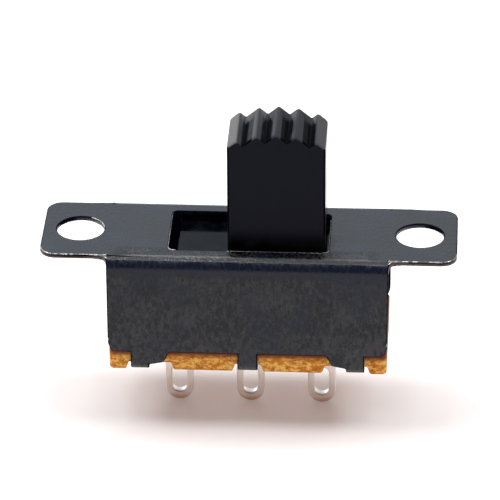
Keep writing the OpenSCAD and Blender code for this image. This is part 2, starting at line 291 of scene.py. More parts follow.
@dataclass(frozen=True)
class BlackSteel:
    """Blackened sheet steel, mottled, with worn flecks on its outer bend, painted dimmer towards the right
    as painted shade, a dark blue band below the bend as a painted reflection, and walls painted paler than
    the plate as painted light.

    Places and depths are in millimetres in the frame's own axes. The bend starts and
    ends at a height of the surface's direction.
    """

    name: str = "black_steel"
    dark: Colour = (0.0006, 0.0008, 0.0016)
    pale: Colour = (0.0026, 0.0026, 0.0034)
    # Painted light: the walls' coat is paler than the plate's, for the light the walls catch from the
    # floor.
    lit_wall: Colour = (0.0290, 0.0286, 0.0305)
    wall_z: Range = (-0.98, -0.62)
    blue: Colour = (0.0048, 0.0078, 0.0180)
    # Painted reflection: the heights of a dark blue band low on the bend, for the dark front that it
    # mirrors.
    reflection_band_low: Range = (-0.82, -0.52)
    reflection_band_high: Range = (-0.16, -0.06)
    fleck: Colour = (0.24, 0.24, 0.245)
    # Painted shade: the flecks are dimmer towards the right, where the bend's highlight fades.
    shaded_fleck: Colour = (0.11, 0.11, 0.115)
    dim_x: Range = (-2.0, 4.0)
    flecks: Cloud = Cloud(13.0, rough=0.75)
    flecked: Range = (0.54, 0.62)
    clouds: Cloud = Cloud(0.8)
    clouds_share: float = 0.30
    strokes: Cloud = Cloud(6.0, rough=0.62, stretch=(1.3, 1.0, 0.6))
    strokes_share: float = 0.70
    mottled: Range = (0.38, 0.65)
    tint: Cloud = Cloud(0.45, detail=1.0, shift=(7.0, 3.0, 0.0))
    tinted: Range = (0.48, 0.66)
    tint_share: float = 0.6
    hammered: Cloud = Cloud(4.4, detail=2.0, rough=0.5, stretch=(1.2, 1.0, 0.6))
    hammered_relief: Range = (0.07, 0.7)
    plate_share: float = 0.20
    grit: Cloud = Cloud(22.0, detail=2.0)
    grit_relief: Range = (0.006, 0.5)
    ior: float = 1.67
    rough_span: Range = (0.38, 0.62)
    roughness: Range = (0.17, 0.39)
    bend_roughness: float = 0.70
    bend_start: Range = (0.74, 0.82)
    bend_end: Range = (0.96, 0.995)
    roll_x: Range = (5.05, 6.15)
    roll_y: Range = (-2.45, -1.50)
    roll_relief: Range = (0.13, 1.0)

    def make(self) -> bpy.types.Material:
        """Builds the coat's colours and its relief.

        Returns:
            The finished material.
        """
        shader = Shader(self.name)
        place = shader.place()
        height = shader.axis(place, "Z")
        clouds = shader.times(shader.noise(self.clouds), self.clouds_share)
        both = shader.math("ADD", clouds, shader.times(shader.noise(self.strokes), self.strokes_share))
        # Painted light: the walls get a paler coat than the plate.
        on_wall = shader.fall(height, self.wall_z)
        pale = shader.blend(on_wall, self.pale, self.lit_wall)
        coat = shader.blend(shader.spread(both, self.mottled), self.dark, pale)
        tint = shader.spread(shader.noise(self.tint), self.tinted, (0.0, self.tint_share))
        coat = shader.blend(tint, coat, self.blue)
        # Painted reflection: a dark blue band low on the bend, for the dark front that it mirrors.
        band = shader.times(shader.spread(height, self.reflection_band_low), shader.fall(height, self.reflection_band_high))
        coat = shader.blend(band, coat, self.blue)
        bend = self.bend(shader)
        rubbed = shader.times(bend, shader.spread(shader.noise(self.flecks), self.flecked))
        # The flecks are worn coat; their dimmer colour towards the right is painted shade.
        bare = shader.blend(shader.spread(shader.axis(place, "X"), self.dim_x), self.fleck, self.shaded_fleck)
        rough = shader.spread(both, self.rough_span, self.roughness)
        hammered = shader.math("SUBTRACT", shader.noise(self.hammered), NOISE_MIDDLE)
        hammered = shader.times(hammered, shader.most(on_wall, self.plate_share))
        relief = shader.bump(self.roll(shader, place), self.roll_relief)
        relief = shader.bump(hammered, self.hammered_relief, relief)
        return shader.finished({
            "Base Color": shader.blend(rubbed, coat, bare),
            "Metallic": rubbed,
            "IOR": self.ior,
            "Roughness": shader.most(rough, shader.times(bend, self.bend_roughness)),
            "Normal": shader.bump(shader.noise(self.grit), self.grit_relief, relief),
        })

    def bend(self, shader: Shader) -> Socket:
        """Gives 1 on the upper part of a bend, and 0 elsewhere."""
        upward = shader.axis(shader.normal(), "Z")
        return shader.times(shader.spread(upward, self.bend_start), shader.fall(upward, self.bend_end))

    def roll(self, shader: Shader, place: Socket) -> Socket:
        """Gives the slight roll-over of the plate in front of the slot, before the sheet's bend.

        Args:
            shader: The material that is being built.
            place: The place on the piece.

        Returns:
            1 on the flat plate, falling to 0 at the bend.
        """
        front = shader.fall(shader.axis(place, "Y"), self.roll_y)
        between = shader.fall(shader.math("ABSOLUTE", shader.axis(place, "X")), self.roll_x)
        return shader.math("SUBTRACT", 1.0, shader.times(front, between))


@dataclass(frozen=True)
class SheetEdge:
    """Steel at a sheared edge: a cut face, or its rim, dark with a pale colour where the wear pattern is
    high: real wear on burnished rims, and a painted reflection on cut faces and on the dark rim.

    Heights and depths are in millimetres, and the roughness falls where it is worn.
    """

    name: str
    dark: Colour
    pale: Colour
    metallic: float
    roughness: Range
    wear: Cloud = Cloud(6.0, detail=4.0, rough=0.65)
    worn: Range = (0.38, 0.62)
    reflection_z: Range | None = None
    ior: float = 1.5
    grit: Cloud = Cloud(18.0)
    grit_relief: Range = (0.006, 0.6)

    def make(self) -> bpy.types.Material:
        """Builds the edge's colours and its relief.

        Returns:
            The finished material.
        """
        shader = Shader(self.name)
        wear = shader.noise(self.wear)
        bare = shader.spread(wear, self.worn)
        # The pale colour kept only low on the face is a painted reflection of the warm floor.
        if self.reflection_z:
            bare = shader.times(bare, shader.fall(shader.axis(shader.place(), "Z"), self.reflection_z))
        return shader.finished({
            "Base Color": shader.blend(bare, self.dark, self.pale),
            "Metallic": self.metallic,
            "IOR": self.ior,
            "Roughness": shader.spread(wear, ROUGH_SPAN, self.roughness),
            "Normal": shader.bump(shader.noise(self.grit), self.grit_relief),
        })


@dataclass(frozen=True)
class BlackPlastic:
    """Moulded black plastic: smooth below, with painted light and shade on the knob: its foot painted
    darker, its upright faces painted paler, painted highlights on the ridges and painted shade in their
    grooves.

    Places, widths and depths are in millimetres in the slider's own axes. The ranges
    level, sideways and slant are coordinates of the surface's direction.
    """

    name: str = "black_plastic"
    deep: Colour = (0.0010, 0.0011, 0.0022)
    scuff: Colour = (0.0060, 0.0064, 0.0084)
    # Painted shade and highlights: the groove colour is painted shade, and the two pale ridge colours
    # after it are painted highlights on the crests and on the outward facets.
    groove_shade: Colour = (0.0018, 0.0019, 0.0030)
    rubbed: Colour = (0.036, 0.037, 0.044)
    worn: Colour = (0.155, 0.155, 0.160)
    # Painted light: the paler colour of the knob's upright faces.
    lit_front: Colour = (0.0138, 0.0156, 0.0225)
    specular: float = 0.10
    roughness: Range = (0.07, 0.15)
    clouds: Cloud = Cloud(1.2)
    scuffed: Range = (0.35, 0.65)
    grit: Cloud = Cloud(14.0)
    grit_relief: Range = (0.0025, 0.3)
    level: Range = (0.35, 0.6)
    sideways: Range = (0.25, 0.5)
    slant: Range = (-0.3, 0.3)
    foot_z: Range = (0.0, 1.1)
    knob_x: float = 1.22
    # Where the outward facets get the palest painted highlight, on the left and the right ridges.
    lit_left: Range = (-0.90, 0.90)
    lit_right: Range = (2.40, 3.10)
    lit_right_share: float = 0.25
    half_pitch: float = 0.43
    half_band: Range = (0.16, 0.22)
    outer: Range = (1.66, 1.74)
    lean: float = 0.14
    lean_x: Range = (1.90, 2.70)
    # Painted highlight at the back end of the ridges.
    back_y: Range = (0.45, 0.95)
    back_share: float = 0.8

    def make(self) -> bpy.types.Material:
        """Builds the plastic's colours and its relief.

        Returns:
            The finished material.
        """
        shader = Shader(self.name)
        clouds = shader.noise(self.clouds)
        normal = shader.normal()
        # Painted shade: below its foot height the knob takes the flange's dark colour, darkening it where
        # it meets the plate.
        above = shader.spread(shader.axis(shader.place(), "Z"), self.foot_z)
        # Painted light: upright faces of the knob, facing front or back, get a paler colour.
        front = shader.times(above, shader.fall(shader.axis(normal, "Z"), self.level))
        slant = shader.math("ABSOLUTE", shader.axis(normal, "X"))
        front = shader.times(front, shader.fall(slant, self.sideways))
        flange = shader.blend(shader.spread(clouds, self.scuffed), self.deep, self.scuff)
        top = shader.blend(above, flange, self.ridges(shader))
        return shader.finished({
            "Base Color": shader.blend(front, top, self.lit_front),
            "Specular IOR Level": self.specular,
            "Roughness": shader.spread(clouds, ROUGH_SPAN, self.roughness),
            "Normal": shader.bump(shader.noise(self.grit), self.grit_relief),
        })

    def ridges(self, shader: Shader) -> Socket:
        """Gives the colour of the ridges: painted highlights on their crests, back ends and outer flanks,
        palest on the outward facets, and painted shade in the grooves.

        Args:
            shader: The material that is being built.

        Returns:
            The colour.
        """
        place, normal = shader.place(), shader.normal()
        across, slant = shader.axis(place, "X"), shader.axis(normal, "X")
        from_middle = shader.math("SUBTRACT", across, self.knob_x)
        lean = shader.spread(across, self.lean_x, (0.0, self.lean))
        off_ridge = shader.math("PINGPONG", shader.math("SUBTRACT", from_middle, lean), self.half_pitch)
        # Painted highlights on the crests, the back end and the outer flanks.
        back = shader.spread(shader.axis(place, "Y"), self.back_y, (0.0, self.back_share))
        band = shader.most(shader.fall(off_ridge, self.half_band), back)
        band = shader.most(band, shader.spread(shader.math("ABSOLUTE", from_middle), self.outer))
        band = shader.times(band, shader.spread(shader.axis(normal, "Z"), self.level))
        # Painted highlights on the left ridges' left facets and the right ridges' right facets.
        left = shader.times(shader.fall(slant, self.slant), shader.fall(across, self.lit_left))
        lit_right = shader.spread(across, self.lit_right, (0.0, self.lit_right_share))
        right = shader.times(shader.spread(slant, self.slant), lit_right)
        pale = shader.blend(shader.math("ADD", left, right), self.rubbed, self.worn)
        # Painted shade darkens the grooves.
        return shader.blend(band, self.groove_shade, pale)


@dataclass(frozen=True)
class Phenolic:
    """Punched phenolic laminate: granular amber edges, darkened towards the top by painted shade under the
    steel wall's edge, and darker at the foot.

    Heights and depths are in millimetres.
    """

    name: str = "phenolic"
    amber: Colour = (0.60, 0.19, 0.008)
    straw: Colour = (0.93, 0.56, 0.12)
    umber: Colour = (0.19, 0.036, 0.003)
    grains: Cloud = Cloud(6.5, detail=4.0, rough=0.7, stretch=(0.55, 0.7, 1.0))
    grained: Range = (0.42, 0.60)
    grain_relief: Range = (0.010, 0.5)
    pits: Cloud = Cloud(7.0, detail=2.0, rough=0.6, shift=(3.0, 1.0, 2.0))
    pitted: Range = (0.52, 0.70)
    pit_share: float = 0.60
    pit_relief: Range = (0.014, 0.4)
    specular: float = 0.20
    roughness: Range = (0.28, 0.50)
    # Painted shade: the heights over which the board darkens towards the wall's edge.
    top_z: Range = (-5.16, -4.82)
    foot_z: Range = (-5.71, -5.62)
    foot_share: float = 0.7

    def make(self) -> bpy.types.Material:
        """Builds the laminate's colours and its relief.

        Returns:
            The finished material.
        """
        shader = Shader(self.name)
        height = shader.axis(shader.place(), "Z")
        grains, pits = shader.noise(self.grains), shader.noise(self.pits)
        body = shader.blend(shader.spread(grains, self.grained), self.amber, self.straw)
        body = shader.blend(shader.spread(pits, self.pitted, (0.0, self.pit_share)), body, self.umber)
        foot = shader.spread(height, self.foot_z, (self.foot_share, 0.0))
        # Painted shade darkens the top under the wall; the foot is darker too.
        top_shade_and_foot = shader.most(shader.spread(height, self.top_z), foot)
        relief = shader.bump(grains, self.grain_relief)
        return shader.finished({
            "Base Color": shader.blend(top_shade_and_foot, body, self.umber),
            "Specular IOR Level": self.specular,
            "Roughness": shader.spread(grains, ROUGH_SPAN, self.roughness),
            "Normal": shader.bump(pits, self.pit_relief, relief),
        })


@dataclass(frozen=True)
class Metal:
    """Bare or plated metal with fine drawing marks and a slight tarnish, and, where given, painted shade
    that darkens its lowest part.

    Heights and depths are in millimetres.
    """

    name: str
    bright: Colour
    tarnish: Colour
    roughness: Range
    marks: Cloud = Cloud(12.0, stretch=(1.0, 1.0, 0.2))
    marks_relief: Range = (0.004, 0.4)
    clouds: Cloud = Cloud(1.8, detail=4.0)
    tarnished: Range = (0.45, 0.75)
    foot_shade: Colour | None = None
    foot_shade_z: Range = (-8.62, -8.15)

    def make(self) -> bpy.types.Material:
        """Builds the metal's colours and its relief.

        Returns:
            The finished material.
        """
        shader = Shader(self.name)
        marks = shader.noise(self.marks)
        tarnished = shader.spread(shader.noise(self.clouds), self.tarnished)
        plate = shader.blend(tarnished, self.bright, self.tarnish)
        # Painted shade: the lowest part darkens towards the floor.
        if self.foot_shade:
            foot = shader.fall(shader.axis(shader.place(), "Z"), self.foot_shade_z)
            plate = shader.blend(foot, plate, self.foot_shade)
        return shader.finished({
            "Base Color": plate,
            "Metallic": 1.0,
            "Roughness": shader.spread(marks, ROUGH_SPAN, self.roughness),
            "Normal": shader.bump(marks, self.marks_relief),
        })


# The finishes of the sheet's edges and burrs, the lugs, the contact strip and its spring, with painted
# light and shade: a painted reflection on the cut faces, a dark rim of painted shade, and painted shade at
# the lugs' tips
# Painted reflection: the pale brown, broken up by the wear pattern low on the ears' cut faces, stands in
# for the warm floor they mirror.
SHEARED_STEEL = SheetEdge(
    "sheared_steel", dark=(0.008, 0.006, 0.006), pale=(0.155, 0.102, 0.080), metallic=0.2,
    roughness=(0.55, 0.35), worn=(0.25, 0.50), reflection_z=(-0.14, -0.09),
)
# Painted shade: a dark navy finish that barely reflects, for the rims, the walls' inner faces and the back
# pips.
SHADED_RIM = SheetEdge(
    "shaded_rim", dark=(0.0010, 0.0016, 0.0060), pale=(0.0040, 0.0065, 0.0240), metallic=0.0,
    roughness=(0.6, 0.4), ior=1.06,
)
BURNISHED_RIM = SheetEdge(
    "burnished_rim", dark=(0.12, 0.115, 0.11), pale=(0.66, 0.63, 0.58), metallic=0.9,
    roughness=(0.42, 0.22), wear=Cloud(4.5, detail=4.0, rough=0.65), worn=(0.41, 0.60),
)
BARE_BURR = Metal(
    "bare_burr", bright=(0.78, 0.74, 0.66), tarnish=(0.20, 0.17, 0.14), roughness=(0.25, 0.38),
)
# Painted shade: the lugs' tips darken brown towards the floor, for the shaded floor they mirror.
SILVER_PLATE = Metal(
    "silver_plate", bright=(1.0, 0.96, 0.90), tarnish=(0.95, 0.85, 0.72),
    roughness=(0.29, 0.42), foot_shade=(0.62, 0.42, 0.28),
)
SPRING_BRONZE = Metal(
    "spring_bronze", bright=(0.78, 0.56, 0.30), tarnish=(0.45, 0.26, 0.12),
    roughness=(0.21, 0.34), marks=Cloud(12.0, stretch=(0.2, 1.0, 1.0)),
)
SPRING_WIRE = Metal(
    "spring_wire", bright=(0.60, 0.60, 0.62), tarnish=(0.36, 0.35, 0.35), roughness=(0.25, 0.38),
)


def stand(name: str, data: bpy.types.ID) -> bpy.types.Object:
    """Puts an object with its mesh, lamp or camera data into the scene.

    Args:
        name: The object's name.
        data: What it holds.

    Returns:
        The object, at the origin.
    """
    made = bpy.data.objects.new(name, data)
    bpy.context.scene.collection.objects.link(made)
    return made


@contextmanager
def edited(mesh: bpy.types.Mesh) -> Iterator[bmesh.types.BMesh]:
    """Opens a mesh for editing, and writes it back afterwards.

    Args:
        mesh: The mesh.

    Returns:
        The open mesh, in a with statement.
    """
    work = bmesh.new()
    work.from_mesh(mesh)
    yield work
    work.to_mesh(mesh)
    work.free()


def surface(mesh: bpy.types.Mesh) -> tuple[BVHTree, tuple[Vector, Vector]]:
    """Takes a mesh's surface and its box, for tests of distance.

    Args:
        mesh: The mesh.

    Returns:
        The surface, and the lowest and highest corner.
    """
    points = [vert.co.copy() for vert in mesh.vertices]
    tree = BVHTree.FromPolygons(points, [face.vertices[:] for face in mesh.polygons])
    low, high = (Vector(pick(point[i] for point in points) for i in range(3)) for pick in (min, max))
    return tree, (low, high)


def bake(piece: bpy.types.Object) -> None:
    """Turns a piece's modifiers into plain mesh and removes them.

    Args:
        piece: The piece, whose mesh is replaced.
    """
    graph = bpy.context.evaluated_depsgraph_get()
    mesh = bpy.data.meshes.new_from_object(piece.evaluated_get(graph), depsgraph=graph)
    piece.modifiers.clear()
    piece.data = mesh


def smooth(piece: bpy.types.Object, sharp_deg: float) -> None:
    """Shades a piece smooth, apart from edges sharper than an angle, with flat faces kept flat.

    Args:
        piece: The piece.
        sharp_deg: The angle in degrees.
    """
    piece.data.shade_smooth()
    piece.data.set_sharp_from_angle(angle=math.radians(sharp_deg))
    weighted = piece.modifiers.new("flat faces", "WEIGHTED_NORMAL")
    weighted.keep_sharp = True
    bake(piece)


def dress(piece: bpy.types.Object, *materials: bpy.types.Material) -> None:
    """Gives a piece its materials.

    Args:
        piece: The piece.
        materials: The materials in the order of its faces' indices.
    """
    piece.data.materials.clear()
    for material in materials:
        piece.data.materials.append(material)


def fit(piece: bpy.types.Object, body: Body, slot: Slot, *nodes: str) -> None:
    """Rides a piece on its body and hides the nodes it stands for.

    Args:
        piece: The piece.
        body: The body it moves with.
        slot: The record's slot of its finish; not used.
        nodes: The CAD nodes that it replaces, if any.
    """
    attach(piece, body.value)
    if nodes:
        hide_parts(*nodes)
    LOG.info("%s rides on %s and stands for %s", piece.name, body.value, ", ".join(nodes) or "no node")


@dataclass(frozen=True)
class RoundedCopy:
    """How a CAD node's mesh is copied with its sharp edges rounded.

    A rounding's corner is stray when it lies further off the sharp surface than a
    share of the width.
    """

    width: float
    segments: int = 2
    sharp_deg: float = 35.0
    flat_deg: float = 0.4
    weld: float = 1e-4 * MM
    stray: float = 0.75

    def merged(self, node: str) -> bpy.types.Mesh:
        """Copies a node's mesh, with its loose triangles merged into whole faces.

        Args:
            node: The CAD node's name.

        Returns:
            The merged mesh.
        """
        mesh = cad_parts[node].data.copy()
        mesh.materials.clear()
        with edited(mesh) as work:
            bmesh.ops.remove_doubles(work, verts=work.verts, dist=self.weld)
            flat = math.radians(self.flat_deg)
            bmesh.ops.dissolve_limit(
                work, angle_limit=flat, verts=work.verts, edges=work.edges, delimit={"MATERIAL"}
            )
        return mesh

    def piece(self, name: str, mesh: bpy.types.Mesh, rim_material: int = -1) -> bpy.types.Object:
        """Rounds a mesh's sharp edges and makes a piece of it.

        Args:
            name: The piece's name.
            mesh: The mesh, with its materials.
            rim_material: The material index of the rounded edges, or -1 for their faces' own.

        Returns:
            The piece, with no modifier left on it.
        """
        sharp, box = surface(mesh)
        piece = stand(name, mesh)
        bevel = piece.modifiers.new("rounding", "BEVEL")
        bevel.width = self.width
        bevel.segments = self.segments
        bevel.limit_method = "ANGLE"
        bevel.angle_limit = math.radians(self.sharp_deg)
        bevel.material = rim_material
        bevel.use_clamp_overlap = False
        bake(piece)
        self.settle(piece.data, sharp, box)
        smooth(piece, self.sharp_deg)
        return piece

    def settle(self, mesh: bpy.types.Mesh, sharp: BVHTree, box: tuple[Vector, Vector]) -> None:
        """Draws the rounding's stray corners back onto their neighbours and into the piece's box.

        Args:
            mesh: The rounded mesh.
            sharp: The surface before its edges were rounded.
            box: The lowest and highest corner of that surface.
        """
        with edited(mesh) as work:
            nearest = {vert: sharp.find_nearest(vert.co) for vert in work.verts}
            stray = {vert: near for vert, near in nearest.items() if near[3] > self.stray * self.width}
            while stray:
                bases = {}
                for vert, near in stray.items():
                    others = [edge.other_vert(vert) for edge in vert.link_edges]
                    kept = [other.co for other in others if other not in stray]
                    if kept:
                        bases[vert] = min(kept, key=lambda co: (co - near[0]).length).copy()
                if not bases:
                    break
                for vert, base in bases.items():
                    vert.co = base
                    del stray[vert]
            low, high = box
            for vert in work.verts:
                vert.co = [min(max(c, lo), hi) for lo, c, hi in zip(low, vert.co, high)]
            bmesh.ops.dissolve_degenerate(work, dist=self.weld, edges=work.edges)


class ShapeTree(Nodes):
    """A Geometry Nodes tree with named inputs, which ends as one realized and dressed mesh."""

    def __init__(self, name: str, inputs: dict[str, str]) -> None:
        """Makes the tree and its inputs.

        Args:
            name: The tree's name.
            inputs: Each input's name and kind of socket, such as Float.
        """
        super().__init__(bpy.data.node_groups.new(name, "GeometryNodeTree"))
        new_socket = self.tree.interface.new_socket
        self.keys = {
            label: new_socket(label, in_out="INPUT", socket_type=f"NodeSocket{kind}").identifier
            for label, kind in inputs.items()
        }
        new_socket("Geometry", in_out="OUTPUT", socket_type="NodeSocketGeometry")
        self.given = self.add("NodeGroupInput").outputs[:len(inputs)]

    def sweep(self, path: Socket, section: Wiring, scale: Socket | float = 1.0) -> Socket:
        """Sweeps a round section along a path, with closed ends.

        Args:
            path: The path's curve.
            section: The section's resolution and radius.
            scale: The section's scale along the path.

        Returns:
            The swept mesh.
        """
        circle = self.add("GeometryNodeCurvePrimitiveCircle", section).outputs[0]
        wiring = {"Curve": path, "Profile Curve": circle, "Scale": scale, "Fill Caps": True}
        return self.add("GeometryNodeCurveToMesh", wiring).outputs[0]

    def finish(self, shape: Socket, material: bpy.types.Material) -> None:
        """Realizes the tree's shape, sets its material and puts it out.

        Args:
            shape: The geometry.
            material: The material it gets.
        """
        whole = self.add("GeometryNodeRealizeInstances", {0: shape}).outputs[0]
        dressed = self.add("GeometryNodeSetMaterial", {"Geometry": whole, "Material": material}).outputs[0]
        self.add("NodeGroupOutput", {0: dressed})

    def grow(self, piece: bpy.types.Object, values: dict[str, float | Triple]) -> None:
        """Runs the tree on a piece and keeps what it makes as plain mesh.

        Args:
            piece: The piece.
            values: What each named input gets.
        """
        modifier = piece.modifiers.new(self.tree.name, "NODES")
        modifier.node_group = self.tree
        for label, value in values.items():
            modifier[self.keys[label]] = value
        bake(piece)


@dataclass(frozen=True)
class Stretch:
    """A stretch of sheared rim with a burr: the burr's radius and a box around it, in millimetres."""

    radius: float
    x: Range
    y: Range
    z: Range = (-0.01, 0.01)
    parallel: float = 1e-6

    def clip(self, start: Vector, end: Vector) -> tuple[Vector, Vector] | None:
        """Cuts a straight piece of rim to the box.

        Args:
            start: Its first end in metres.
            end: Its second end in metres.

        Returns:
            The ends of the part inside, or None.
        """
        first, last = 0.0, 1.0
        for (low, high), near, far in zip((self.x, self.y, self.z), start / MM, end / MM):
            if abs(far - near) < self.parallel:
                if not low <= near <= high:
                    return None
                continue
            enter, leave = sorted(((low - near) / (far - near), (high - near) / (far - near)))
            first, last = max(first, enter), min(last, leave)
        return (start.lerp(end, first), start.lerp(end, last)) if first < last else None


@dataclass(frozen=True)
class Burring:
    """How burrs grow on a rim: their steps, their raggedness and its pattern, and their sides."""

    step: float = 0.025 * MM
    weld: float = 0.01 * MM
    ragged: float = 0.65
    seed: float = 4.0
    per_mm: float = 9.0
    span: Range = (0.35, 0.65)
    sides: int = 8

    def tree(self, steel: bpy.types.Material) -> ShapeTree:
        """Builds the tree that turns paths into ragged burrs of their points' sizes.

        Args:
            steel: The burrs' material.

        Returns:
            The tree.
        """
        sizes = dict.fromkeys(("Step", "Weld", "Ragged", "Seed"), "Float")
        tree = ShapeTree("burr", {"Paths": "Geometry", **sizes})
        paths, step, weld, ragged, seed = tree.given
        whole = tree.add("GeometryNodeMergeByDistance", {"Geometry": paths, "Distance": weld}).outputs[0]
        curve = tree.add("GeometryNodeMeshToCurve", {0: whole}).outputs[0]
        wiring = {"Curve": curve, "Length": step}
        even = tree.add("GeometryNodeResampleCurve", wiring, mode="LENGTH").outputs[0]
        place = tree.add("GeometryNodeInputPosition").outputs[0]
        wiring = {"Vector": place, "W": seed, "Scale": self.per_mm / MM}
        chance = tree.add("ShaderNodeTexNoise", wiring, noise_dimensions="4D").outputs["Fac"]
        low, high = self.span
        least = tree.math("SUBTRACT", 1.0, ragged)
        wiring = {"Value": chance, "From Min": low, "From Max": high, "To Min": least, "To Max": 1.0}
        rough = tree.add("ShaderNodeMapRange", wiring).outputs["Result"]
        size = tree.add("GeometryNodeInputNamedAttribute", {"Name": "size"}).outputs[0]
        section = {"Resolution": self.sides, "Radius": 1.0}
        tree.finish(tree.sweep(even, section, tree.times(size, rough)), steel)
        return tree

    def grow(self, name: str, paths: bpy.types.Mesh, steel: bpy.types.Material) -> bpy.types.Object:
        """Grows burrs along paths.

        Args:
            name: The piece's name.
            paths: A mesh of edges, with a size at each point.
            steel: The burrs' material.

        Returns:
            The burrs as one plain mesh.
        """
        piece = stand(name, paths)
        values = {"Step": self.step, "Weld": self.weld, "Ragged": self.ragged, "Seed": self.seed}
        self.tree(steel).grow(piece, values)
        return piece


@dataclass
class SteelFrame:
    """The folded steel sheet with its plate, ears, walls and crimped tabs.

    A face counts as sheared where the steel behind it is thicker than deep sheets.
    The probe that measures it starts a share of the sheet below the face.
    """

    node: str = "frame"
    sheet: float = 0.22 * MM
    deep: float = 1.2
    probe: float = 0.01
    edge_round: float = 0.05 * MM
    hole_x: float = 7.5 * MM
    hole_reach: float = 1.06 * MM
    wall_end: float = 0.5 * MM
    inward: float = 0.5
    rubbed_front: float = -1.2 * MM
    rubbed_plate: float = -0.1 * MM
    rubbed_wall: float = -2.6 * MM
    rubbed_corner: Range = (-4.14 * MM, -3.96 * MM)
    burring: Burring = Burring()
    burr_sink: float = 0.008 * MM
    burrs: tuple[Stretch, ...] = (
        Stretch(0.0075, x=(-3.60, -3.45), y=(-1.50, 1.55)),
        Stretch(0.034, x=(-3.60, -3.20), y=(-1.80, -1.50)),
        Stretch(0.0115, x=(-0.95, 3.20), y=(-1.80, -1.70)),
        Stretch(0.014, x=(3.20, 3.60), y=(-1.80, -1.50)),
        Stretch(0.0085, x=(3.45, 3.60), y=(-1.50, 1.20)),
        Stretch(0.028, x=(-7.10, -6.40), y=(0.10, 1.03)),
        Stretch(0.026, x=(-7.00, -6.40), y=(0.30, 1.03), z=(-0.23, -0.15)),
        Stretch(0.018, x=(-6.55, -6.10), y=(-2.70, -2.34)),
        Stretch(0.018, x=(6.10, 6.55), y=(-2.70, -2.34)),
    )
    pips: tuple[Stretch, ...] = (
        Stretch(0.036, x=(-6.24, -6.10), y=(2.34, 2.70)),
        Stretch(0.036, x=(6.10, 6.24), y=(2.34, 2.70)),
    )

    @cached_property
    def wall(self) -> float:
        """Gives half the length of the walls, which is the board's."""
        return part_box("base_board")[1].x

    def cut_faces(self, mesh: bpy.types.Mesh) -> set[int]:
        """Finds the sheared faces.

        Args:
            mesh: The frame's merged mesh.

        Returns:
            The faces' indices.
        """
        tree = surface(mesh)[0]
        deep = [0.0] * len(mesh.polygons)
        mesh.calc_loop_triangles()
        for part in mesh.loop_triangles:
            centre = sum((mesh.vertices[i].co for i in part.vertices), Vector()) / 3
            hit = tree.ray_cast(centre - part.normal * (self.probe * self.sheet), -part.normal)[3]
            thick = hit is None or hit > self.deep * self.sheet
            deep[part.polygon_index] += part.area if thick else -part.area
        return {face.index for face in mesh.polygons if deep[face.index] > 0}

    def part_walls(self, mesh: bpy.types.Mesh) -> None:
        """Parts the walls' faces at the top of their rubbed corners, without changing the shape.

        Args:
            mesh: The frame's merged mesh.
        """
        top = self.rubbed_corner[1]
        with edited(mesh) as work:
            geom = [*work.verts, *work.edges, *work.faces]
            bmesh.ops.bisect_plane(work, geom=geom, plane_co=(0, 0, top), plane_no=(0, 0, 1))

    def paint(self, mesh: bpy.types.Mesh, cut: set[int]) -> None:
        """Gives the outer sheared faces their finish, with its painted reflection, and the walls' inner
        faces the dark rim, which is painted shade.

        Args:
            mesh: The frame's merged mesh.
            cut: The sheared faces' indices.
        """
        for face in mesh.polygons:
            centre, normal = face.center, face.normal
            in_hole = max(abs(centre.y), abs(abs(centre.x) - self.hole_x)) < self.hole_reach
            in_slot = abs(centre.x) < self.wall - self.wall_end and centre.z > -self.sheet
            inner = centre.y * normal.y < 0 and abs(normal.y) > self.inward and centre.z < -self.sheet
            # Cut faces in the holes and the slot keep the black coat, so the painted reflection lies only
            # on the outer cut faces.
            if face.index in cut and not in_hole and not in_slot:
                face.material_index = Face.SHEARED
            # Painted shade: the walls' inner faces take the dark rim.
            elif inner:
                face.material_index = Face.RIM

    def worn(self, centre: Vector) -> bool:
        """Says whether the rim at a place is rubbed bare.

        Args:
            centre: The middle of one of the rim's faces.

        Returns:
            True at the ears' front and at the walls' low corners.
        """
        across = abs(centre.x)
        low, high = self.rubbed_corner
        ear_front = across > self.wall and centre.y < self.rubbed_front and centre.z > self.rubbed_plate
        wall_end = across > self.wall - self.edge_round and centre.y < self.rubbed_wall
        return ear_front or (wall_end and low < centre.z < high)

    def build(self) -> list[bpy.types.Object]:
        """Builds the frame, with its sheared edges rounded and dressed, and its burrs.

        Returns:
            The frame and its burrs.
        """
        rounding = RoundedCopy(width=self.edge_round)
        mesh = rounding.merged(self.node)
        self.part_walls(mesh)
        finishes = [finish.make() for finish in (BlackSteel(), SHEARED_STEEL, SHADED_RIM, BURNISHED_RIM)]
        for material in finishes:
            mesh.materials.append(material)
        cut = self.cut_faces(mesh)
        self.paint(mesh, cut)
        burrs = [
            self.burr("bright_burrs", mesh, cut, self.burrs, BARE_BURR.make()),
            # Painted shade: the pips at the back corners take the dark rim.
            self.burr("dark_pips", mesh, cut, self.pips, finishes[Face.RIM]),
        ]
        # Every rounded edge takes the dark rim, which is painted shade; the rubbed ones are made bare
        # below.
        piece = rounding.piece("steel_frame", mesh, rim_material=Face.RIM)
        for face in piece.data.polygons:
            if face.material_index == Face.RIM and self.worn(face.center):
                face.material_index = Face.BARE
        fit(piece, Body.CASE, Slot.STEEL, self.node)
        return [piece, *burrs]

